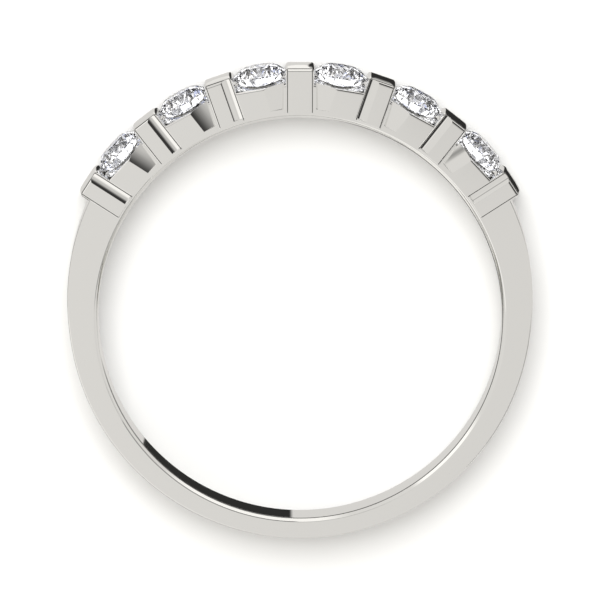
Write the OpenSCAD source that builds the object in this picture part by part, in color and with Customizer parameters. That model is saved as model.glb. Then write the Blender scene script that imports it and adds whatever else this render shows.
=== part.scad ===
// Bar set band: a cast ring whose crossbars hold a row of round brilliants over a gallery.
// The finger hole runs along Z, its centre is the origin, and the stones stand towards +Y.

/* [Ring] */
// Inside diameter of the finger hole
finger_d = 17.3; // [15.3:0.1:21]
// Width of the band along the finger
band_w = 2.4; // [2.1:0.05:3]
// Wall at the back of the finger
back_wall = 0.87; // [0.75:0.01:1.2]
// Distance from the centre of the hole to the centre of the lower outline, towards the stones
shank_shift = 0.38; // [0.2:0.01:0.6]
// Wall at the sides of the finger
side_wall = 1.3; // [1.2:0.01:1.5]
// Distance from the centre of the hole to the centre of the upper outline, towards the stones
shoulder_shift = 0.82; // [0.6:0.01:1]
// Width of the bevel at the two edges of the finger hole
hole_edge = 0.18; // [0.1:0.01:0.3]
// Rounding of the outer edges of the shank
shank_round = 0.08; // [0.04:0.01:0.2]

/* [Stones] */
// Diameter of each stone at its girdle
stone_d = 2.35; // [2:0.05:2.7]
// Metal between the point of a stone's seat and the finger hole
seat_floor = 0.77; // [0.6:0.01:0.9]
// Clearance between a stone and the metal of its seat
seat_gap = 0.02; // [0.01:0.005:0.03]
// Thickness of the girdle
girdle_t = 0.07; // [0.03:0.01:0.12]
// Width of the table across its corners, as a share of the girdle
table_share = 0.57; // [0.53:0.01:0.62]
// Angle of the crown facets to the girdle
crown_angle = 36; // [32:0.5:37]
// Angle of the pavilion facets to the girdle
pavilion_angle = 40.8; // [40:0.2:42]
// Reach of the star facets from the table towards the girdle
star_share = 0.5; // [0.4:0.01:0.6]
// Reach of the lower girdle facets from the girdle towards the culet
lower_share = 0.77; // [0.7:0.01:0.85]

/* [Bars] */
// Width of a bar at its top
bar_w = 1.24; // [0.9:0.02:1.4]
// Taper of each side of a bar from its top to the finger hole
bar_taper = 0.02; // [0:0.01:0.06]
// Height of the bars above the girdles
bar_rise = 0.37; // [0.3:0.01:0.6]
// Height of the crown of a bar's top over its ends
bar_crown = 0.1; // [0.02:0.01:0.15]
// Rounding of the top edges of a bar
bar_top_round = 0.13; // [0.05:0.01:0.16]
// Rounding of the upright edges of a bar
bar_edge_round = 0.1; // [0.03:0.01:0.12]
// How far a girdle reaches into the side of a bar
bar_grip = 0.04; // [0.01:0.005:0.06]
// Width of the flute along the edge of a side bar
flute_w = 0.38; // [0.2:0.01:0.5]
// Width of the rim left between the flute and the side of the bar
flute_rim = 0.02; // [0.01:0.01:0.15]
// Depth of the flute
flute_depth = 0.07; // [0.04:0.01:0.14]
// Height of the foot of the flute above the wall of the finger hole
flute_foot = 0.42; // [0.35:0.01:0.8]

/* [Gallery] */
// Depth of the gallery's top below the girdles
gallery_drop = 0.48; // [0.3:0.01:0.6]
// Set-back of the gallery and the shank from the side faces of the bars
set_back = 0.02; // [0.01:0.01:0.06]
// Rounding of the upper edges of the gallery
gallery_round = 0.12; // [0.04:0.01:0.15]
// Width of the hollow at the top of a gallery block, beside the bar nearer the middle of the head
hollow_w = 0.77; // [0.4:0.01:0.9]
// Depth of the hollow over the middle of its round floor
hollow_depth = 0.26; // [0.1:0.01:0.3]
// Distance from the hollow's side at the bar to the middle of its round floor
hollow_lean = 0.35; // [0.1:0.01:0.6]
// Height of the foot of the hollow above the wall of the finger hole
hollow_foot = 0.22; // [0.2:0.01:0.6]
// Width of the rim left between the hollow and the bar
hollow_rim = 0.07; // [0.04:0.01:0.2]

/* [Hidden] */
$fn = 96;

stone_count = 6;
girdle_corners = 16;
round_steps = 5;
crown_steps = 12;
// Cutting bodies run this far past the metal that they cut
over = 0.5;

hole_r = finger_d / 2;
shank_r = hole_r + back_wall + shank_shift;
side_z = band_w / 2;
face_z = side_z - set_back;

crown_h = (stone_d / 2) * (1 - table_share) * tan(crown_angle);
pavilion_h = (stone_d / 2) * tan(pavilion_angle);

// A seat is the stone's girdle and cones, larger all round by the clearance
seat_r = stone_d / 2 + seat_gap;
seat_half_t = girdle_t / 2 + seat_gap * tan(crown_angle);
seat_depth = seat_half_t + seat_r * tan(pavilion_angle);
girdle_r = hole_r + seat_floor + seat_depth;
bar_r = girdle_r + bar_rise;
gallery_r = girdle_r - gallery_drop;

// The bars stand as far apart as the stones and their grip need
open_half = stone_d / 2 - bar_grip;
bar_half = bar_half_at(girdle_r);
half_pitch = atan(open_half / girdle_r) + asin(bar_half / norm([open_half, girdle_r]));
pitch = 2 * half_pitch;
head_half = pitch * stone_count / 2;

// Points of an arc from one angle to another
function arc(centre, r, from, to, steps = round_steps) = [
    for (i = [0 : steps])
        let (a = from + (to - from) * i / steps)
        [centre.x + r * cos(a), centre.y + r * sin(a)]
];

// Radius of the round tool whose cut has this width and depth
function tool_r(width, depth) = (width * width / 4 + depth * depth) / (2 * depth);

// Half the width of a bar at a distance from the centre of the hole
function bar_half_at(r) = bar_w / 2 - bar_taper * (bar_r - r) / (bar_r - hole_r);

// Turns children to a place along the row, where 0 is the middle of the head
module along_row(steps) {
    rotate([0, 0, -steps * pitch]) children();
}

// Disc with rounded edges, as thick as the shank is wide
module round_disc(r) {
    rotate_extrude()
        polygon(concat(
            [[0, -face_z]],
            arc([r - shank_round, -face_z + shank_round], shank_round, -90, 0),
            arc([r - shank_round, face_z - shank_round], shank_round, 0, 90),
            [[0, face_z]]
        ));
}

// The sector that the head fills, from one end bar's middle to the other's
module head_sector() {
    reach = 3 * hole_r;
    linear_extrude(height = band_w + 2 * over, center = true)
        polygon([
            [0, 0],
            [-reach * sin(head_half), reach * cos(head_half)],
            [-reach * sin(head_half), reach],
            [reach * sin(head_half), reach],
            [reach * sin(head_half), reach * cos(head_half)]
        ]);
}

module shank() {
    difference() {
        union() {
            translate([0, shank_shift, 0]) round_disc(shank_r);
            translate([0, shoulder_shift, 0]) round_disc(hole_r + side_wall);
        }
        head_sector();
    }
}

// Bore with bevelled edges, which cuts the finger hole through everything
module finger_cut() {
    mouth_r = hole_r + hole_edge + over;
    rotate_extrude()
        polygon([
            [0, -face_z - over],
            [mouth_r, -face_z - over],
            [hole_r, -face_z + hole_edge],
            [hole_r, face_z - hole_edge],
            [mouth_r, face_z + over],
            [0, face_z + over]
        ]);
}

// Lays a section, drawn with the radius of the ring along Y and its width along X, across the band
module across(width) {
    rotate([0, 90, 0])
        linear_extrude(height = width, center = true)
            children();
}

// Bar seen from the side of the ring: tapered, with rounded upper corners
module bar_face() {
    top_half = bar_w / 2;
    foot_half = bar_half_at(hole_r - over);
    linear_extrude(height = band_w, center = true)
        polygon(concat(
            [[-foot_half, hole_r - over], [foot_half, hole_r - over]],
            arc([top_half - bar_top_round, bar_r - bar_top_round], bar_top_round, 0, 90),
            arc([-top_half + bar_top_round, bar_r - bar_top_round], bar_top_round, 90, 180)
        ));
}

// Bar seen along the band: its top is crowned and its corners are rounded
module bar_end() {
    crown_r = tool_r(band_w, bar_crown);
    lean = asin((side_z - bar_top_round) / (crown_r - bar_top_round));
    corner = [
        side_z - bar_top_round,
        bar_r - crown_r + (crown_r - bar_top_round) * cos(lean)
    ];
    polygon(concat(
        [[-side_z, 0], [side_z, 0]],
        arc(corner, bar_top_round, 0, 90 - lean),
        arc([0, bar_r - crown_r], crown_r, 90 - lean, 90 + lean, crown_steps),
        arc([-corner.x, corner.y], bar_top_round, 90 + lean, 180)
    ));
}

// Bar seen from above: a rectangle with rounded corners
module bar_plan() {
    x = bar_w / 2 - bar_edge_round;
    z = side_z - bar_edge_round;
    rotate([-90, 0, 0])
        linear_extrude(height = bar_r + over)
            polygon(concat(
                arc([x, z], bar_edge_round, 0, 90),
                arc([-x, z], bar_edge_round, 90, 180),
                arc([-x, -z], bar_edge_round, 180, 270),
                arc([x, -z], bar_edge_round, 270, 360)
            ));
}

// Round flute down the edge of a bar that faces the middle of the head
module flute(side, face) {
    tool = tool_r(flute_w, flute_depth);
    foot = hole_r + flute_foot;
    x = bar_w / 2 - flute_rim - flute_w / 2;
    translate([side * x, foot, face * (side_z + tool - flute_depth)])
        rotate([-90, 0, 0])
            cylinder(h = bar_r - foot + over, r = tool);
}

module bar(steps) {
    along_row(steps)
        intersection() {
            bar_face();
            bar_plan();
            across(bar_w + over) bar_end();
        }
}

// Hollow in the side face of the block outside a bar. Its straight side follows that bar, and its round
// floor, which sinks towards that side, follows the next bar out.
module hollow(side, face) {
    bar_side = bar_half_at(gallery_r) + hollow_rim;
    corner = gallery_r * sin(pitch) - bar_side * cos(pitch);
    reach = hollow_w + hollow_lean;
    drop = (reach * reach - hollow_depth * hollow_depth) / (2 * hollow_depth);
    intersection() {
        rotate([0, 0, -side * half_pitch])
            translate([-side * (corner + hollow_lean), hole_r + hollow_foot, face * (face_z + drop)])
                rotate([-90, 0, 0])
                    cylinder(h = gallery_r, r = drop + hollow_depth);
        rotate([0, 0, side * half_pitch])
            translate([side * (bar_side + reach), gallery_r, 0])
                cube([2 * reach, gallery_r, 2 * band_w], center = true);
    }
}

// Gallery seen along the band: its upper edges are rounded
module gallery_end() {
    corner = [face_z - gallery_round, gallery_r - gallery_round];
    polygon(concat(
        [[-face_z, 0], [face_z, 0]],
        arc(corner, gallery_round, 0, 90),
        arc([-corner.x, corner.y], gallery_round, 90, 180)
    ));
}

// Block between two bars: it runs from one bar's middle to the next one's
module gallery(steps) {
    half_w = gallery_r * tan(half_pitch);
    along_row(steps)
        difference() {
            intersection() {
                linear_extrude(height = band_w, center = true)
                    polygon([[0, 0], [half_w, gallery_r], [-half_w, gallery_r]]);
                across(2 * half_w) gallery_end();
            }
            for (face = [-1, 1])
                hollow(sign(steps), face);
        }
}

// Puts a stone or its seat at its place, with its axis along the radius
module at_stone(number) {
    along_row(number - (stone_count + 1) / 2)
        translate([0, girdle_r, 0])
            rotate([-90, 0, 0])
                children();
}

module seat() {
    rotate_extrude()
        polygon([
            [0, -seat_depth],
            [seat_r, -seat_half_t],
            [seat_r, seat_half_t],
            [seat_r - crown_h / tan(crown_angle), seat_half_t + crown_h],
            [0, seat_half_t + crown_h]
        ]);
}

module band() {
    end_bar = stone_count / 2;
    color([0.84, 0.84, 0.82])
        difference() {
            union() {
                shank();
                for (i = [1 : stone_count])
                    gallery(i - (stone_count + 1) / 2);
                for (i = [-end_bar : end_bar])
                    bar(i);
            }
            finger_cut();
            for (i = [-end_bar : end_bar], face = [-1, 1])
                if (i != 0)
                    along_row(i) flute(-sign(i), face);
            for (i = [1 : stone_count])
                at_stone(i) seat();
        }
}

// Point at an angle on a level circle
function level(r, angle, z) = [r * cos(angle), r * sin(angle), z];

// Round brilliant about Z with its girdle at the origin: table, crown, girdle and pavilion
module brilliant() {
    mains = girdle_corners / 2;
    step = 360 / mains;
    girdle = stone_d / 2;
    table = girdle * table_share;
    table_mid = table * cos(step / 2);
    top_z = girdle_t / 2;
    low_z = -girdle_t / 2;
    table_z = top_z + crown_h;
    culet_z = low_z - pavilion_h;
    star = table_mid + star_share * (girdle - table_mid);
    star_z = table_z - crown_h * (star * cos(step / 2) - table) / (girdle - table);
    lower = girdle * (1 - lower_share);
    lower_z = culet_z + pavilion_h * lower * cos(step / 2) / girdle;
    points = concat(
        [for (i = [0 : mains - 1]) level(table, i * step, table_z)],
        [for (i = [0 : mains - 1]) level(star, (i + 0.5) * step, star_z)],
        [for (i = [0 : girdle_corners - 1]) level(girdle, i * step / 2, top_z)],
        [for (i = [0 : girdle_corners - 1]) level(girdle, i * step / 2, low_z)],
        [for (i = [0 : mains - 1]) level(lower, (i + 0.5) * step, lower_z)],
        [[0, 0, culet_z]]
    );
    star_0 = mains;
    upper_0 = 2 * mains;
    under_0 = upper_0 + girdle_corners;
    lower_0 = under_0 + girdle_corners;
    culet = lower_0 + mains;
    faces = concat(
        [[for (i = [mains - 1 : -1 : 0]) i]],
        [for (i = [0 : mains - 1]) [i, (i + 1) % mains, star_0 + i]],
        [for (i = [0 : mains - 1])
            [i, star_0 + i, upper_0 + 2 * i, star_0 + (i + mains - 1) % mains]],
        [for (i = [0 : mains - 1]) [star_0 + i, upper_0 + 2 * i + 1, upper_0 + 2 * i]],
        [for (i = [0 : mains - 1])
            [star_0 + i, upper_0 + (2 * i + 2) % girdle_corners, upper_0 + 2 * i + 1]],
        [for (i = [0 : girdle_corners - 1])
            let (j = (i + 1) % girdle_corners)
            [upper_0 + i, upper_0 + j, under_0 + j, under_0 + i]],
        [for (i = [0 : mains - 1]) [lower_0 + i, under_0 + 2 * i, under_0 + 2 * i + 1]],
        [for (i = [0 : mains - 1])
            [lower_0 + i, under_0 + 2 * i + 1, under_0 + (2 * i + 2) % girdle_corners]],
        [for (i = [0 : mains - 1])
            [culet, lower_0 + (i + mains - 1) % mains, under_0 + 2 * i, lower_0 + i]]
    );
    polyhedron(points, faces);
}

module stone(number) {
    color([0.93, 0.96, 1])
        at_stone(number)
            brilliant();
}

band();
stone(1);  // stone_1
stone(2);  // stone_2
stone(3);  // stone_3
stone(4);  // stone_4
stone(5);  // stone_5
stone(6);  // stone_6
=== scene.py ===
"""Looks of a bar set band: brilliants between bars of polished white gold, on a pale floor."""

import math

import bmesh
import bpy
from bpy.props import FloatProperty, FloatVectorProperty, IntProperty, PointerProperty
from mathutils import Matrix, Vector


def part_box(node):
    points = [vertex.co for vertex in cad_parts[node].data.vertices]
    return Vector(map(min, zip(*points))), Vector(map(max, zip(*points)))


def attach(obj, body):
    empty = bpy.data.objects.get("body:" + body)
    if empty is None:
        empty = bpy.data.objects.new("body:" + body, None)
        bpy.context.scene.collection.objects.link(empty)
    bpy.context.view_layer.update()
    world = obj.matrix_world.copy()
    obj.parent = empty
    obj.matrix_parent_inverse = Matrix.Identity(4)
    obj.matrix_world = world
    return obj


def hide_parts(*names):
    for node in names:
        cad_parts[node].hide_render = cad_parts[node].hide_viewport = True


bl_info = {
    "name": "Bar Set Band",
    "version": (1, 0, 0),
    "blender": (4, 5, 0),
    "location": "View3D > Sidebar > Ring",
    "description": "Makes a ring with a row of brilliants held between crossbars",
    "category": "Add Mesh",
}

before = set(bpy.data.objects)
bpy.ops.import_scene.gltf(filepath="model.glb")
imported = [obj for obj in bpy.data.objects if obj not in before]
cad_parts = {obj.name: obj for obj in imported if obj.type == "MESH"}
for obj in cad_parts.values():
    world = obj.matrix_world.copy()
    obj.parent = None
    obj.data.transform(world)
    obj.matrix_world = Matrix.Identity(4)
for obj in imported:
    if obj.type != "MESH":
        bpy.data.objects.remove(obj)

MM = 0.001

# Steps of the curves in the meshes, and sides of the round tools
EDGE_STEPS = 5
CORNER_STEPS = 6
CROWN_STEPS = 12
BAR_TOP_STEPS = 9
BAR_SIDE_STEPS = 14
FLUTE_END_STEPS = 8
FLUTE_SIDES = 64
HOLLOW_SIDES = 256
SEAT_SIDES = 96

# Crown of a top that is flat to the eye, the least corner of a bar, and the point of a seat
FLAT = 0.0005 * MM
LEAST_CORNER = 0.02 * MM
SEAT_POINT = 0.01 * MM

# From this angle on, an edge between two faces stays sharp
SHARP_ANGLE = math.radians(24)

# Attribute for the share of painted shade on a face, and its values in the grooves and the seats.
# The shade of a crease is painted into the joint grooves, and a lighter painted shade into the
# seats under the stones.
PAINTED_SHADE = "painted_shade"
JOINT_SHADE, SEAT_SHADE = 1.0, 0.4

# Distance between hairlines, and the roughness of the clearest spots as a share of the roughest
HAIRLINE = 0.4 * MM
CLEAREST = 0.6

# Camera's sensor in its own millimetres, and lamp in metres: its size and its place over the floor
SENSOR = 36.0
LAMP_SIZE, LAMP_Y, LAMP_Z = 0.6, 0.35, 0.6

# Bounces that a ray may make in all, and by reflection or through a stone. With fewer the stones
# turn dark.
ALL_BOUNCES, STONE_BOUNCES = 24, 16

# Linear shares of red, green and blue in the studio's light
WARMTH = (0.945, 0.924, 0.887)

# Panels of the stones' tent: where each shade starts in a range of 0 to 1, and the shade
PANELS = ((0.0, "0A0A0A"), (0.19, "66676A"), (0.26, "8C93AE"), (0.29, "FFFFFF"))
PANEL_SCALE, TENT_LIGHT = 1.4, 2.2


def linear(code):
    """Linear colour of an sRGB hex code."""
    parts = [int(code[i : i + 2], 16) / 255 for i in (0, 2, 4)]
    return tuple(c / 12.92 if c <= 0.04045 else ((c + 0.055) / 1.055) ** 2.4 for c in parts)


def length(name, mm, description):
    """Property for a length that is given in millimetres."""
    return FloatProperty(
        name=name,
        description=description,
        default=mm * MM,
        min=0,
        unit="LENGTH",
        subtype="DISTANCE",
        precision=6,
    )


def tone(name, code, description):
    """Property for a colour that is given as an sRGB hex code."""
    return FloatVectorProperty(
        name=name,
        description=description,
        size=3,
        subtype="COLOR",
        default=linear(code),
        min=0,
        max=1,
    )


def slope(name, degrees, description):
    """Property for an angle that is given in degrees."""
    return FloatProperty(
        name=name, description=description, default=math.radians(degrees), subtype="ANGLE"
    )


class RingSizes(bpy.types.PropertyGroup):
    finger_d: length("Finger hole", 17.3, "Inside diameter of the finger hole")
    band_w: length("Width", 2.4, "Width of the crossbars along the finger")
    set_back: length("Set-back", 0.02, "How far the shank's sides lie behind those of the bars")
    back_wall: length("Back wall", 0.863, "Wall at the back of the finger")
    side_wall: length("Side wall", 1.293, "Wall at the sides of the finger")
    shank_shift: length("Lower shift", 0.38, "Lower outline's centre above the hole's centre")
    shoulder_shift: length("Shoulder shift", 0.82, "Upper outline's centre above the hole's centre")
    outline_blend: length("Outline blend", 0.03, "Length over which the two outlines blend")
    hole_edge: length("Hole edge", 0.15, "Width of the bevel at the two edges of the finger hole")
    bevel_out: length("Outer rounding", 0.06, "Rounding between that bevel and the side face")
    bevel_in: length("Inner rounding", 0.13, "Rounding between that bevel and the hole's wall")
    shank_round: length("Shank rounding", 0.05, "Rounding of the outer edges of the shank")
    rings: IntProperty(name="Steps", description="Sections round the ring", default=720, min=90)


class HeadSizes(bpy.types.PropertyGroup):
    stones: IntProperty(name="Stones", description="Stones in the row", default=6, min=2)
    stone_d: length("Stone", 2.35, "Diameter of a stone at its girdle")
    seat_gap: length("Seat gap", 0.02, "Clearance between a stone and its seat")
    seat_floor: length("Seat floor", 0.77, "Metal between a seat's point and the finger hole")
    girdle_t: length("Girdle", 0.07, "Thickness of the girdle")
    table_share: FloatProperty(
        name="Table", description="Table as a share of the girdle", default=0.57
    )
    crown_angle: slope("Crown angle", 36, "Angle of the crown facets")
    pavilion_angle: slope("Pavilion angle", 40.8, "Angle of the pavilion facets")
    bar_w: length("Bar width", 1.24, "Width of a bar at its top")
    bar_taper: length("Bar taper", 0.02, "Taper of each side of a bar down to the finger hole")
    bar_rise: length("Bar rise", 0.37, "Height of the bars above the girdles")
    bar_crown: length("Bar crown", 0.1, "Height of the crown of a bar's top over its ends")
    bar_top_round: length("Bar top rounding", 0.13, "Rounding of a bar's top edges")
    bar_edge_round: length("Bar edge rounding", 0.1, "Rounding of a bar's upright edges")
    bar_grip: length("Grip", 0.04, "How far a girdle reaches into the side of a bar")
    bar_foot: length("Bar foot", 0.24, "Height of the foot of a bar above the finger hole")
    flute_x: length("Flute middle", 0.355, "From a side bar's middle to the middle of its flute")
    flute_w: length("Flute width", 0.51, "Width of the flute along the edge of a side bar")
    flute_depth: length("Flute depth", 0.09, "Depth of the flute")
    flute_foot: length("Flute foot", 0.3, "Height of the flute's foot above the finger hole")
    flute_end: length("Flute end", 0.02, "Rounding at the flute's foot")
    joint_x: length("Joint", 0.53, "From the middle of a bar to the solder joint at each side")
    joint_w: length("Joint width", 0.03, "Width of the fine groove that is left along a joint")
    joint_depth: length("Joint depth", 0.1, "Depth of that groove")
    gallery_drop: length("Gallery drop", 0.48, "Depth of the gallery's top below the girdles")
    gallery_crown: length("Gallery crown", 0.24, "Crown of the gallery's top over its edges")
    gallery_round: length("Gallery rounding", 0.12, "Rounding of the gallery's upper edges")
    hollow_w: length("Hollow width", 0.87, "Width of the hollow at the top of a gallery block")
    hollow_depth: length("Hollow depth", 0.26, "Depth over the middle of the hollow's round floor")
    hollow_lean: length("Hollow lean", 0.35, "From the side at the bar to the floor's middle")
    hollow_foot: length("Hollow foot", 0.38, "Height of the hollow's foot above the finger hole")
    hollow_rim: length("Hollow rim", 0.07, "Width of the rim between the hollow and the bar")


class MetalLook(bpy.types.PropertyGroup):
    colour: tone("Colour", "F5F5F4", "Face-on reflection of the polished alloy")
    # Colour of the painted shade in the joint grooves and the seats, which stands in for the shade
    # that falls there
    painted_shade: tone("Painted shade", "2A2928", "Colour of the polish left in the joints")
    smear: FloatProperty(
        name="Roughness",
        description="Roughness left by the last buff",
        default=0.035,
        min=0,
        max=1,
    )
    edge: length("Edge softness", 0.018, "Radius that polishing gives to every edge")


class StoneLook(bpy.types.PropertyGroup):
    colour: tone("Colour", "FDFDFF", "Body colour of the stones")
    ior: FloatProperty(name="IOR", description="Index of refraction", default=2.417, min=1)


class StudioLook(bpy.types.PropertyGroup):
    tilt: slope("Camera tilt", 8.5, "Angle of the camera above the finger's axis")
    distance: length("Camera distance", 450, "From the ring's centre to the camera")
    view_w: length("View width", 25.72, "Width of the picture at the ring")
    rise: length("View rise", 0.634, "Height of the picture's centre over the ring's centre")
    floor_w: length("Floor", 2000, "Width of the floor")
    floor_colour: tone("Floor colour", "F7F7F6", "Colour of the paper floor")
    lamp_power: FloatProperty(
        name="Lamp",
        description="Power of the soft lamp over the floor",
        default=5.0,
        unit="POWER",
    )


def sizes():
    """The ring's and the head's sizes, with what follows from them."""
    ring, head = bpy.context.scene.ring_sizes, bpy.context.scene.head_sizes
    hole = ring.finger_d / 2
    side = ring.band_w / 2
    seat_r = head.stone_d / 2 + head.seat_gap
    seat_half_t = head.girdle_t / 2 + head.seat_gap * math.tan(head.crown_angle)
    seat_depth = seat_half_t + seat_r * math.tan(head.pavilion_angle)
    girdle = hole + head.seat_floor + seat_depth
    bar = girdle + head.bar_rise
    reach = bar - hole
    open_half = head.stone_d / 2 - head.bar_grip
    bar_half = head.bar_w / 2 - head.bar_taper * head.bar_rise / reach
    to_bar = math.hypot(open_half, girdle)
    half_pitch = math.atan(open_half / girdle) + math.asin(bar_half / to_bar)
    return {
        "hole": hole,
        "side": side,
        "face": side - ring.set_back,
        "seat_r": seat_r,
        "seat_half_t": seat_half_t,
        "seat_depth": seat_depth,
        "crown_h": head.stone_d / 2 * (1 - head.table_share) * math.tan(head.crown_angle),
        "girdle": girdle,
        "bar": bar,
        "gallery": girdle - head.gallery_drop,
        "half_pitch": half_pitch,
        "head_half": half_pitch * head.stones,
    }


def bar_half_at(r, s):
    """Half the width of a bar at a distance from the hole's centre."""
    head = bpy.context.scene.head_sizes
    return head.bar_w / 2 - head.bar_taper * (s["bar"] - r) / (s["bar"] - s["hole"])


def tool_r(width, depth):
    """Radius of the round tool whose cut has this width and depth."""
    return (width**2 / 4 + depth**2) / (2 * depth)


def from_top(angle):
    """Angle between a direction and the top of the ring."""
    return abs(math.remainder(angle - math.pi / 2, 2 * math.pi))


def arc(cx, cy, r, start, end, steps):
    """Points of an arc, with its angles in degrees."""
    turns = [math.radians(start + (end - start) * i / steps) for i in range(steps + 1)]
    return [(cx + r * math.cos(t), cy + r * math.sin(t)) for t in turns]


def new_piece(name, mesh):
    """Object in the scene for a mesh, a lamp or a camera."""
    piece = bpy.data.objects.new(name, mesh)
    bpy.context.scene.collection.objects.link(piece)
    return piece


def closed_mesh(name, bm):
    """Mesh of a closed shell, with its faces turned outwards."""
    bmesh.ops.recalc_face_normals(bm, faces=bm.faces)
    mesh = bpy.data.meshes.new(name)
    bm.to_mesh(mesh)
    bm.free()
    return mesh


def skin(bm, loops, wrap=False):
    """Bands of quads between loops of vertices.

    With wrap the last loop joins the first, and without it a fan closes each end.
    """
    pairs = list(zip(loops, loops[1:] + loops[:1])) if wrap else list(zip(loops, loops[1:]))
    for low, high in pairs:
        for i in range(len(low)):
            j = (i + 1) % len(low)
            bm.faces.new((low[i], low[j], high[j], high[i]))
    if not wrap:
        for loop in (loops[0], loops[-1]):
            middle = bm.verts.new(sum((v.co for v in loop), Vector()) / len(loop))
            for i in range(len(loop)):
                bm.faces.new((loop[i], loop[(i + 1) % len(loop)], middle))


def node(tree, kind, links=None, **values):
    """Adds a node. links maps its inputs to sockets or values, and values are its own settings."""
    made = tree.nodes.new(kind)
    for key, value in values.items():
        setattr(made, key, value)
    for key, value in (links or {}).items():
        if isinstance(value, bpy.types.NodeSocket):
            tree.links.new(value, made.inputs[key])
        else:
            made.inputs[key].default_value = value
    return made


# The band


def outer_radius(angle, s):
    """Radius of the outline at an angle from +X.

    It follows the shank's two circles, and in the head the flat top of a gallery block.
    """
    ring = bpy.context.scene.ring_sizes
    if from_top(angle) < s["head_half"]:
        pitch = 2 * s["half_pitch"]
        from_block = from_top(angle) % pitch - s["half_pitch"]
        return s["gallery"] / math.cos(from_block)
    circles = (
        (ring.shank_shift, s["hole"] + ring.back_wall + ring.shank_shift),
        (ring.shoulder_shift, s["hole"] + ring.side_wall),
    )
    low, high = (
        c * math.sin(angle) + math.sqrt(r**2 - (c * math.cos(angle)) ** 2) for c, r in circles
    )
    return (low + high + math.hypot(low - high, ring.outline_blend)) / 2


def shank_and_gallery(s):
    """One lofted ring: the shank, and in the head the blocks of the gallery."""
    ring, head = bpy.context.scene.ring_sizes, bpy.context.scene.head_sizes
    face, hole = s["face"], s["hole"]
    by_face, by_wall = ring.bevel_out, ring.bevel_in
    # A rounding takes this share of its radius from each side of a corner of 45 degrees
    taken = math.tan(math.pi / 8)
    rise = ring.hole_edge + by_face * taken
    run = ring.hole_edge + by_wall * taken
    bm = bmesh.new()
    loops = []
    for i in range(ring.rings):
        angle = 2 * math.pi * (i + 0.5) / ring.rings
        out = outer_radius(angle, s)
        in_head = from_top(angle) < s["head_half"]
        crown, soft = (
            (head.gallery_crown, head.gallery_round) if in_head else (FLAT, ring.shank_round)
        )
        section = (
            arc(hole + rise, -face + by_face, by_face, 270, 225, EDGE_STEPS)
            + arc(hole + by_wall, -face + run, by_wall, 225, 180, EDGE_STEPS)
            + arc(hole + by_wall, face - run, by_wall, 180, 135, EDGE_STEPS)
            + arc(hole + rise, face - by_face, by_face, 135, 90, EDGE_STEPS)
            + crowned(face, out, crown, soft)
        )
        loops.append(
            [bm.verts.new((r * math.cos(angle), r * math.sin(angle), z)) for r, z in section]
        )
    skin(bm, loops, wrap=True)
    return closed_mesh("shank_and_gallery", bm)


def crowned(half_w, out, crown, soft):
    """Outer end of a section from the front to the back: a crowned top between rounded edges."""
    crown_r = tool_r(2 * half_w, crown)
    lean = math.degrees(math.asin((half_w - soft) / (crown_r - soft)))
    middle = out + crown - crown_r
    edge = middle + math.sqrt((crown_r - soft) ** 2 - (half_w - soft) ** 2)
    return (
        arc(edge, half_w - soft, soft, 90, lean, EDGE_STEPS)
        + arc(middle, 0, crown_r, lean, -lean, CROWN_STEPS)
        + arc(edge, soft - half_w, soft, -lean, -90, EDGE_STEPS)
    )


def rounded_loop(half_x, half_z, corner):
    """Rounded rectangle, with extra points along its long sides."""
    x, z = half_x - corner, half_z - corner
    points = []
    for cx, cz, start in ((x, z, 0), (-x, z, 90), (-x, -z, 180), (x, -z, 270)):
        points += arc(cx, cz, corner, start, start + 90, CORNER_STEPS)
        if start in (90, 270):
            side = 1 if start == 270 else -1
            points += [
                (side * half_x, side * z * (2 * k / BAR_SIDE_STEPS - 1))
                for k in range(1, BAR_SIDE_STEPS)
            ]
    return points


def bar_mesh(s):
    """Bar at the middle of the head.

    It has straight sides, a crowned top with soft edges, and a foot that goes round the hole.
    """
    ring, head = bpy.context.scene.ring_sizes, bpy.context.scene.head_sizes
    crown_r = tool_r(ring.band_w, head.bar_crown)
    soft = head.bar_top_round
    foot = s["hole"] + head.bar_foot

    def top_at(x, z):
        return math.sqrt(s["bar"] ** 2 - x**2) - crown_r + math.sqrt(crown_r**2 - z**2)

    bm = bmesh.new()
    loops = []
    plan = rounded_loop(bar_half_at(foot, s), s["side"], head.bar_edge_round)
    loops.append([bm.verts.new((x, math.sqrt(foot**2 - x**2), z)) for x, z in plan])
    for k in range(BAR_TOP_STEPS + 1):
        turn = math.radians(90 * k / BAR_TOP_STEPS)
        inset = soft * (1 - math.cos(turn))
        drop = soft * (1 - math.sin(turn))
        corner = max(head.bar_edge_round - inset, LEAST_CORNER)
        plan = rounded_loop(head.bar_w / 2 - inset, s["side"] - inset, corner)
        loops.append([bm.verts.new((x, top_at(x, z) - drop, z)) for x, z in plan])
    # Smaller and smaller loops fill the top
    for share in (0.75, 0.5, 0.25):
        inner = [(x * share, z * share) for x, z in plan]
        loops.append([bm.verts.new((x, top_at(x, z), z)) for x, z in inner])
    skin(bm, loops)
    return closed_mesh("bar", bm)


def turned(profile, steps):
    """Closed tool from a profile of (radius, height) pairs, turned about +Y."""
    turns = [2 * math.pi * i / steps for i in range(steps)]
    bm = bmesh.new()
    skin(
        bm,
        [[bm.verts.new((r * math.cos(t), h, r * math.sin(t))) for t in turns] for r, h in profile],
    )
    return bm


def both_faces(name, bm):
    """Mesh of a tool on the front face, with its mirror image on the back face."""
    copy = bmesh.ops.duplicate(bm, geom=bm.verts[:] + bm.edges[:] + bm.faces[:])["geom"]
    points = [part for part in copy if isinstance(part, bmesh.types.BMVert)]
    bmesh.ops.scale(bm, vec=(1, 1, -1), verts=points)
    return closed_mesh(name, bm)


def marked(mesh, share):
    """Marks a tool's faces, so that the walls it cuts take this share of painted shade."""
    marks = mesh.attributes.new(PAINTED_SHADE, "FLOAT", "FACE")
    marks.data.foreach_set("value", [share] * len(mesh.polygons))
    return mesh


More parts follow.
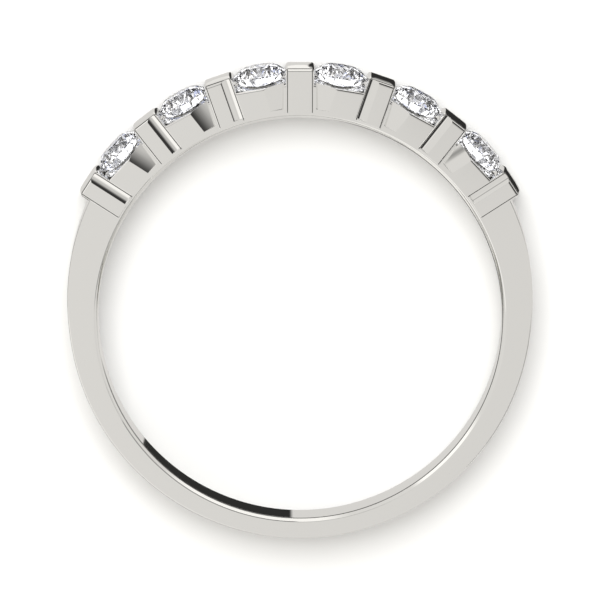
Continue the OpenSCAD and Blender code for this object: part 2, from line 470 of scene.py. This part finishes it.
def flute_mesh(s):
    """Round tool for the flute of a bar on the right, at its edge towards the head's middle."""
    head = bpy.context.scene.head_sizes
    tool = tool_r(head.flute_w, head.flute_depth)
    foot, end_r = s["hole"] + head.flute_foot, head.flute_end
    end = arc(tool - end_r, foot + end_r, end_r, -90, 0, FLUTE_END_STEPS)
    bm = turned(end + [(tool, s["bar"] + tool)], FLUTE_SIDES)
    place = (-head.flute_x, 0, s["side"] + tool - head.flute_depth)
    bmesh.ops.translate(bm, vec=place, verts=bm.verts)
    return both_faces("flute", bm)


def joint_mesh(s):
    """Blades for the fine grooves along both sides of a bar."""
    head = bpy.context.scene.head_sizes
    low, high = s["hole"] + head.bar_foot, s["bar"] - head.bar_top_round
    bm = bmesh.new()
    for side in (-1, 1):
        size = Matrix.Diagonal((head.joint_w, high - low, 2 * head.joint_depth, 1))
        place = Matrix.Translation((side * head.joint_x, (low + high) / 2, s["side"]))
        bmesh.ops.create_cube(bm, size=1, matrix=place @ size)
    # The grooves' walls get the full painted shade, the dark of a crease painted into their colour
    return marked(both_faces("joint", bm), JOINT_SHADE)


def cut_off(bm, point, way):
    """Cuts off what lies beyond a plane, and closes the cut."""
    whole = bm.verts[:] + bm.edges[:] + bm.faces[:]
    bmesh.ops.bisect_plane(bm, geom=whole, plane_co=point, plane_no=way, clear_outer=True)
    bmesh.ops.holes_fill(bm, edges=[edge for edge in bm.edges if edge.is_boundary])


def hollow_mesh(s):
    """Tool for the hollow of a gallery block on the right, beside the bar nearer the middle.

    Its round floor follows the bar on the block's other side, and it is cut off straight beside
    the bar nearer the middle and at its foot.
    """
    head = bpy.context.scene.head_sizes
    pitch = 2 * s["half_pitch"]
    bar_side = bar_half_at(s["gallery"], s) + head.hollow_rim
    corner = s["gallery"] * math.sin(pitch) - bar_side * math.cos(pitch)
    reach = head.hollow_w + head.hollow_lean
    drop = (reach**2 - head.hollow_depth**2) / (2 * head.hollow_depth)
    floor_r = drop + head.hollow_depth
    bm = turned([(floor_r, s["hole"] / 2), (floor_r, 2 * s["gallery"])], HOLLOW_SIDES)
    place = (-corner - head.hollow_lean, 0, s["face"] + drop)
    bmesh.ops.translate(bm, vec=place, verts=bm.verts)
    bmesh.ops.rotate(bm, matrix=Matrix.Rotation(-pitch, 3, "Z"), verts=bm.verts)
    cut_off(bm, (bar_side, 0, 0), (-1, 0, 0))
    bmesh.ops.rotate(bm, matrix=Matrix.Rotation(s["half_pitch"], 3, "Z"), verts=bm.verts)
    cut_off(bm, (0, s["hole"] + head.hollow_foot, 0), (0, -1, 0))
    return both_faces("hollow", bm)


def seat_mesh(s):
    """Tool for a stone's seat: the stone's girdle and cones, larger by the clearance."""
    crown = s["crown_h"]
    inset = crown / math.tan(bpy.context.scene.head_sizes.crown_angle)
    g = s["girdle"]
    profile = [
        (SEAT_POINT, g - s["seat_depth"]),
        (s["seat_r"], g - s["seat_half_t"]),
        (s["seat_r"], g + s["seat_half_t"]),
        (s["seat_r"] - inset, g + s["seat_half_t"] + crown),
    ]
    # The seats' walls under the stones get a lighter painted shade
    return marked(closed_mesh("seat", turned(profile, SEAT_SIDES)), SEAT_SHADE)


def row_tree():
    """Geometry Nodes tree that repeats a piece along the head.

    It goes outwards from a first step on the right, and adds the row's mirror image on the left.
    """
    tree = bpy.data.node_groups.new("Row along the head", "GeometryNodeTree")
    for name, kind in (
        ("Geometry", "NodeSocketGeometry"),
        ("Pitch", "NodeSocketFloat"),
        ("First", "NodeSocketFloat"),
        ("Count", "NodeSocketInt"),
        ("Middle", "NodeSocketBool"),
        ("Material", "NodeSocketMaterial"),
    ):
        tree.interface.new_socket(name, in_out="INPUT", socket_type=kind)
    tree.interface.new_socket("Geometry", in_out="OUTPUT", socket_type="NodeSocketGeometry")
    given = node(tree, "NodeGroupInput").outputs
    points = node(tree, "GeometryNodeMeshLine", {"Count": given["Count"], "Offset": (0, 0, 0)})
    index = node(tree, "GeometryNodeInputIndex")
    step = node(tree, "ShaderNodeMath", {0: index.outputs[0], 1: given["First"]}, operation="ADD")
    turn = node(
        tree, "ShaderNodeMath", {0: step.outputs[0], 1: given["Pitch"]}, operation="MULTIPLY"
    )
    back = node(tree, "ShaderNodeMath", {0: turn.outputs[0], 1: -1.0}, operation="MULTIPLY")
    angles = node(tree, "ShaderNodeCombineXYZ", {"Z": back.outputs[0]})
    rotation = node(tree, "FunctionNodeEulerToRotation", {0: angles.outputs[0]})
    placed = node(
        tree,
        "GeometryNodeInstanceOnPoints",
        {
            "Points": points.outputs[0],
            "Instance": given["Geometry"],
            "Rotation": rotation.outputs[0],
        },
    )
    right = node(tree, "GeometryNodeRealizeInstances", {"Geometry": placed.outputs[0]})
    mirrored = node(
        tree, "GeometryNodeTransform", {"Geometry": right.outputs[0], "Scale": (-1, 1, 1)}
    )
    left = node(tree, "GeometryNodeFlipFaces", {"Mesh": mirrored.outputs[0]})
    middle = node(
        tree,
        "GeometryNodeSwitch",
        {"Switch": given["Middle"], "True": given["Geometry"]},
        input_type="GEOMETRY",
    )
    joined = node(tree, "GeometryNodeJoinGeometry")
    for part in (right, left, middle):
        tree.links.new(part.outputs[0], joined.inputs[0])
    whole = node(tree, "GeometryNodeRealizeInstances", {"Geometry": joined.outputs[0]})
    finished = node(
        tree,
        "GeometryNodeSetMaterial",
        {"Geometry": whole.outputs[0], "Material": given["Material"]},
    )
    tree.links.new(finished.outputs[0], node(tree, "NodeGroupOutput").inputs[0])
    return tree


def plain_copy(piece):
    """Plain mesh of a piece with its modifiers carried out."""
    bpy.context.view_layer.update()
    graph = bpy.context.evaluated_depsgraph_get()
    return bpy.data.meshes.new_from_object(piece.evaluated_get(graph))


def row(name, mesh, tree, metal, s, first, middle=False):
    """The row that the tree makes of one piece, as a plain object."""
    unit = new_piece(name, mesh)
    repeat = unit.modifiers.new("Row", "NODES")
    repeat.node_group = tree
    given = {
        "Pitch": 2 * s["half_pitch"],
        "First": first,
        "Count": bpy.context.scene.head_sizes.stones // 2,
        "Middle": middle,
        "Material": metal,
    }
    for item in tree.interface.items_tree:
        if item.in_out == "INPUT" and item.name in given:
            repeat[item.identifier] = given[item.name]
    made = new_piece(name + "_row", plain_copy(unit))
    bpy.data.objects.remove(unit)
    return made


def even_shading(piece):
    """Lets the flats keep one direction up to their rounded edges.

    It is worked out in millimetres, because faces of less than a square millimetre all count as
    equal in metres.
    """
    piece.data.transform(Matrix.Scale(1 / MM, 4))
    soft = piece.modifiers.new("Even shading", "WEIGHTED_NORMAL")
    soft.keep_sharp, soft.thresh = True, 0.0
    piece.data = plain_copy(piece)
    piece.modifiers.clear()
    piece.data.transform(Matrix.Scale(MM, 4))


# The materials


def white_gold():
    """14 carat white gold under rhodium, buffed to a mirror: a light grey that shows the studio.

    The last buff leaves hairlines a few hundredths of a millimetre apart, which blur the
    reflection unevenly. They are drawn ten times as coarse, because they wouldn't show otherwise.
    Shade is painted into the grooves of the joints, and a little into the seats under the stones.
    """
    look = bpy.context.scene.metal_look
    material = bpy.data.materials.new("polished_white_gold")
    material.use_nodes = True
    tree = material.node_tree
    tree.nodes.clear()
    place = node(tree, "ShaderNodeTexCoord")
    hairlines = node(
        tree,
        "ShaderNodeTexNoise",
        {"Vector": place.outputs["Object"], "Scale": 1 / HAIRLINE, "Detail": 3.0},
    )
    # The noise stays between 0.3 and 0.7 nearly everywhere
    blur = node(
        tree,
        "ShaderNodeMapRange",
        {
            "Value": hairlines.outputs[0],
            "From Min": 0.3,
            "From Max": 0.7,
            "To Min": look.smear * CLEAREST,
            "To Max": look.smear,
        },
    )
    # Share of painted shade on a face, from the joint grooves and the seats
    left = node(tree, "ShaderNodeAttribute", attribute_name=PAINTED_SHADE)
    # Inputs 6 and 7 are the metal's colour and the painted shade's colour, and output 2 their mix
    colour = node(
        tree,
        "ShaderNodeMix",
        {"Factor": left.outputs["Fac"], 6: (*look.colour, 1), 7: (*look.painted_shade, 1)},
        data_type="RGBA",
    )
    edges = node(tree, "ShaderNodeBevel", {"Radius": look.edge}, samples=6)
    shader = node(
        tree,
        "ShaderNodeBsdfPrincipled",
        {
            "Base Color": colour.outputs[2],
            "Metallic": 1.0,
            "Roughness": blur.outputs[0],
            "Normal": edges.outputs[0],
        },
    )
    node(tree, "ShaderNodeOutputMaterial", {"Surface": shader.outputs[0]})
    return material


def diamond():
    """Colourless diamond, cut and polished on the wheel.

    That gives sharp flat facets with hard black and white flashes.
    """
    look = bpy.context.scene.stone_look
    material = bpy.data.materials.new("cut_diamond")
    material.use_nodes = True
    tree = material.node_tree
    tree.nodes.clear()
    shader = node(
        tree,
        "ShaderNodeBsdfPrincipled",
        {
            "Base Color": (*look.colour, 1),
            "Roughness": 0.0,
            "IOR": look.ior,
            "Transmission Weight": 1.0,
        },
    )
    node(tree, "ShaderNodeOutputMaterial", {"Surface": shader.outputs[0]})
    return material


# The steps, their panel and the run


class RING_OT_band(bpy.types.Operator):
    """Makes the shank, the gallery, the bars and the seats as one polished piece"""

    bl_idname = "ring.band"
    bl_label = "Make the Band"

    def execute(self, context):
        s = sizes()
        metal = white_gold()
        tree = row_tree()
        band = new_piece("polished_band", shank_and_gallery(s))
        band.data.materials.append(metal)
        cuts = (
            ("UNION", row("bars", bar_mesh(s), tree, metal, s, 1.0, True)),
            ("DIFFERENCE", row("hollows", hollow_mesh(s), tree, metal, s, 0.5)),
            ("DIFFERENCE", row("flutes", flute_mesh(s), tree, metal, s, 1.0)),
            ("DIFFERENCE", row("seats", seat_mesh(s), tree, metal, s, 0.5)),
            ("DIFFERENCE", row("joints", joint_mesh(s), tree, metal, s, 1.0, True)),
        )
        for kind, other in cuts:
            cut = band.modifiers.new(other.name, "BOOLEAN")
            cut.operation, cut.solver, cut.object = kind, "MANIFOLD", other
        whole = plain_copy(band)
        if len(whole.polygons) < len(band.data.polygons) / 2:
            raise RuntimeError("the band's pieces were not joined")
        band.modifiers.clear()
        band.data = whole
        for _, other in cuts:
            bpy.data.objects.remove(other)
        whole.shade_smooth()
        whole.set_sharp_from_angle(angle=SHARP_ANGLE)
        even_shading(band)
        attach(band, "root")
        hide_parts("band")
        return {"FINISHED"}


class RING_OT_stones(bpy.types.Operator):
    """Gives the brilliants of the frame their diamond look"""

    bl_idname = "ring.stones"
    bl_label = "Dress the Stones"

    def execute(self, context):
        look = diamond()
        for name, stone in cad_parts.items():
            if name.startswith("stone_"):
                stone.data.materials.clear()
                stone.data.materials.append(look)
        return {"FINISHED"}


class RING_OT_studio(bpy.types.Operator):
    """Sets the paper floor, the soft light round the ring, and the camera"""

    bl_idname = "ring.studio"
    bl_label = "Set the Stage"

    def execute(self, context):
        studio = context.scene.studio_look
        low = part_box("band")[0].z
        # Uncoated paper, matt and even: a pale ground that takes a soft shadow and has no sheen
        paper = bpy.data.materials.new("matt_paper")
        paper.use_nodes = True
        surface = paper.node_tree.nodes["Principled BSDF"]
        surface.inputs["Base Color"].default_value = (*studio.floor_colour, 1)
        surface.inputs["Roughness"].default_value = 0.9
        bm = bmesh.new()
        bmesh.ops.create_grid(bm, x_segments=1, y_segments=1, size=studio.floor_w / 2)
        bmesh.ops.translate(bm, vec=(0, 0, low), verts=bm.verts)
        mesh = bpy.data.meshes.new("floor")
        bm.to_mesh(mesh)
        bm.free()
        floor = new_piece("floor", mesh)
        mesh.materials.append(paper)
        floor.visible_glossy = floor.visible_transmission = False
        lamp = bpy.data.lights.new("lamp", "AREA")
        lamp.energy, lamp.size = studio.lamp_power, LAMP_SIZE
        above = new_piece("lamp", lamp)
        above.location = (0, LAMP_Y, LAMP_Z)
        above.rotation_euler = (-math.atan2(LAMP_Y, LAMP_Z), 0, 0)
        above.visible_glossy = above.visible_transmission = False
        studio_world()
        tilt = studio.tilt
        view = bpy.data.cameras.new("camera")
        view.lens = SENSOR * studio.distance / studio.view_w
        view.sensor_width = SENSOR
        view.clip_start, view.clip_end = 0.01, 10
        camera = new_piece("camera", view)
        towards = Vector((0, math.sin(tilt), math.cos(tilt)))
        up = Vector((0, math.cos(tilt), -math.sin(tilt)))
        turn = Matrix(((1, 0, 0), up, towards)).transposed().to_4x4()
        place = Matrix.Translation(towards * studio.distance + up * studio.rise)
        camera.matrix_world = place @ turn
        context.scene.camera = camera
        context.scene.view_settings.view_transform = "Standard"
        paths = context.scene.cycles
        paths.max_bounces = ALL_BOUNCES
        paths.glossy_bounces = paths.transmission_bounces = STONE_BOUNCES
        return {"FINISHED"}


def studio_world():
    """Soft light all round the ring, with white cards and dark cloths in it that the metal shows.

    Each stands in a direction from the ring: x to the picture's right, y to its top and z to the
    camera. Its grey is the strength of its light. The stones break up the light of a tent of white
    and dark panels instead, which only the rays that pass through them meet.
    """
    world = bpy.data.worlds.new("studio")
    bpy.context.scene.world = world
    world.use_nodes = True
    tree = world.node_tree
    tree.nodes.clear()
    way = node(tree, "ShaderNodeTexCoord").outputs["Generated"]
    x, y, z = node(tree, "ShaderNodeSeparateXYZ", {0: way}).outputs

    def ramp(value, start, end):
        """Mask that goes smoothly from 0 at start to 1 at end."""
        made = node(
            tree,
            "ShaderNodeMapRange",
            {"Value": value, "From Min": min(start, end), "From Max": max(start, end)},
            interpolation_type="SMOOTHSTEP",
        ).outputs[0]
        if start < end:
            return made
        return node(tree, "ShaderNodeMath", {0: 1.0, 1: made}, operation="SUBTRACT").outputs[0]

    def where(*masks):
        """Mask of what lies in all of these masks."""
        result = masks[0]
        for mask in masks[1:]:
            product = node(tree, "ShaderNodeMath", {0: result, 1: mask}, operation="MULTIPLY")
            result = product.outputs[0]
        return result

    def layered(ground, *layers):
        """Lays greys over a ground one after the other, each through its mask."""
        for mask, grey in layers:
            inputs = {"Factor": mask, "A": ground, "B": grey}
            ground = node(tree, "ShaderNodeMix", inputs, data_type="FLOAT").outputs["Result"]
        return ground

    white, bright, black = 1.1, 1.2, 0.03
    facing, beside = ramp(z, 0.25, 0.35), ramp(z, 0.35, 0.25)

    # The flat side faces show what is at the slanted lower edge of the cloths over the camera. The
    # right one is black, and fades to grey towards the camera.
    slanted = node(tree, "ShaderNodeMath", {0: x, 1: -0.57, 2: y}, operation="MULTIPLY_ADD")
    over_camera = where(ramp(z, 0.3, 0.35), ramp(slanted.outputs[0], -0.155, -0.125))
    near = node(tree, "ShaderNodeMapRange", {"Value": z, "From Min": 0.72, "From Max": 0.97})
    nearer = where(near.outputs[0], near.outputs[0])
    fading = node(tree, "ShaderNodeMath", {0: nearer, 1: 0.58, 2: 0.04}, operation="MULTIPLY_ADD")

    # A strip goes across the lower right, and a card stands at the upper left beside the ring
    across = node(tree, "ShaderNodeMath", {0: x, 1: y}, operation="ADD").outputs[0]
    low_right = where(ramp(x, 0.03, 0.2), ramp(y, -0.16, -0.25), ramp(across, -0.16, -0.12))
    upper_left = where(
        ramp(x, -0.95, -0.87), ramp(x, -0.6, -0.68), ramp(y, 0.3, 0.4), ramp(z, -0.15, -0.1), beside
    )
    front = layered(
        0.79,
        # A little less light on the right
        (ramp(x, -0.03, 0.03), 0.76),
        # White low on the left, and overhead from the left of the middle to the right
        (where(ramp(x, -0.03, -0.2), ramp(y, -0.15, -0.2), ramp(z, 0.42, 0.5)), white),
        (where(ramp(y, 0.65, 0.8), ramp(x, -0.3, -0.1)), white),
        # Grey at the far right, and black above that
        (where(ramp(x, 0.85, 0.97), facing), 0.55),
        (where(ramp(x, 0.75, 0.88), ramp(y, 0.08, 0.2), facing), 0.02),
        # The cloths over the camera: grey on the left and black on the right
        (where(over_camera, ramp(x, -0.28, -0.2), ramp(y, 0.1, 0.2), ramp(y, 0.55, 0.45)), 0.35),
        (where(over_camera, ramp(x, 0.0, 0.03)), fading.outputs[0]),
        # The strip is bright, with a black cloth over its middle
        (where(low_right, ramp(across, 0.06, 0.03)), bright),
        (where(low_right, ramp(z, 0.45, 0.55), ramp(z, 0.98, 0.86)), black),
        (upper_left, bright),
    )
    back_right = where(ramp(x, 0.01, 0.017), ramp(y, -0.02, -0.016), ramp(y, 0.44, 0.28))
    back = layered(
        0.74,
        # More light on the right, but not straight behind the ring
        (where(ramp(x, -0.3, 0.0), ramp(y, -0.1, 0.1)), 1.05),
        (ramp(z, -0.95, -0.97), 0.74),
        # A black cloth on the right, which darkens the tops of the right bars
        (where(back_right, ramp(z, -0.86, -0.9)), black),
        # White overhead again, and the far end of the card at the upper left
        (where(ramp(y, 0.6, 0.8), ramp(x, -0.3, -0.1)), white),
        (upper_left, bright),
        # Black over the ring and on its left
        (where(ramp(y, 0.0, 0.1), ramp(z, -0.88, -0.8), ramp(z, -0.1, -0.2)), black),
        (where(ramp(x, -0.08, -0.2), ramp(z, -0.9, -0.82), ramp(z, -0.15, -0.3)), 0.04),
    )
    sky = layered(back, (ramp(z, -0.3, -0.1), front))
    warm = node(tree, "ShaderNodeVectorMath", {0: sky, 1: WARMTH}, operation="MULTIPLY")
    studio = node(tree, "ShaderNodeBackground", {"Color": warm.outputs[0], "Strength": 1.0})

    panels = node(
        tree, "ShaderNodeTexVoronoi", {"Vector": way, "Scale": PANEL_SCALE}, feature="F1"
    )
    shade = node(tree, "ShaderNodeSeparateColor", {0: panels.outputs["Color"]})
    shades = node(tree, "ShaderNodeValToRGB", {"Fac": shade.outputs[0]})
    shades.color_ramp.interpolation = "CONSTANT"
    while len(shades.color_ramp.elements) < len(PANELS):
        shades.color_ramp.elements.new(0.5)
    for stop, (place, colour) in zip(shades.color_ramp.elements, PANELS):
        stop.position, stop.color = place, (*linear(colour), 1)
    tent = node(
        tree, "ShaderNodeBackground", {"Color": shades.outputs[0], "Strength": TENT_LIGHT}
    )
    path = node(tree, "ShaderNodeLightPath")
    light = node(
        tree,
        "ShaderNodeMixShader",
        {0: path.outputs["Is Transmission Ray"], 1: studio.outputs[0], 2: tent.outputs[0]},
    )
    node(tree, "ShaderNodeOutputWorld", {"Surface": light.outputs[0]})


class RING_PT_panel(bpy.types.Panel):
    """Lists the ring's steps"""

    bl_idname = "RING_PT_panel"
    bl_label = "Bar Set Band"
    bl_space_type = "VIEW_3D"
    bl_region_type = "UI"
    bl_category = "Ring"

    def draw(self, context):
        for step in (RING_OT_band, RING_OT_stones, RING_OT_studio):
            self.layout.operator(step.bl_idname)


GROUPS = {
    "ring_sizes": RingSizes,
    "head_sizes": HeadSizes,
    "metal_look": MetalLook,
    "stone_look": StoneLook,
    "studio_look": StudioLook,
}
TOOLS = (RING_OT_band, RING_OT_stones, RING_OT_studio, RING_PT_panel)


def register():
    for kind in (*GROUPS.values(), *TOOLS):
        bpy.utils.register_class(kind)
    for name, kind in GROUPS.items():
        setattr(bpy.types.Scene, name, PointerProperty(type=kind))


def unregister():
    for name in GROUPS:
        delattr(bpy.types.Scene, name)
    for kind in reversed((*GROUPS.values(), *TOOLS)):
        bpy.utils.unregister_class(kind)


def main():
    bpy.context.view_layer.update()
    register()
    bpy.ops.ring.band()
    bpy.ops.ring.stones()
    bpy.ops.ring.studio()


if __name__ == "__main__":
    main()
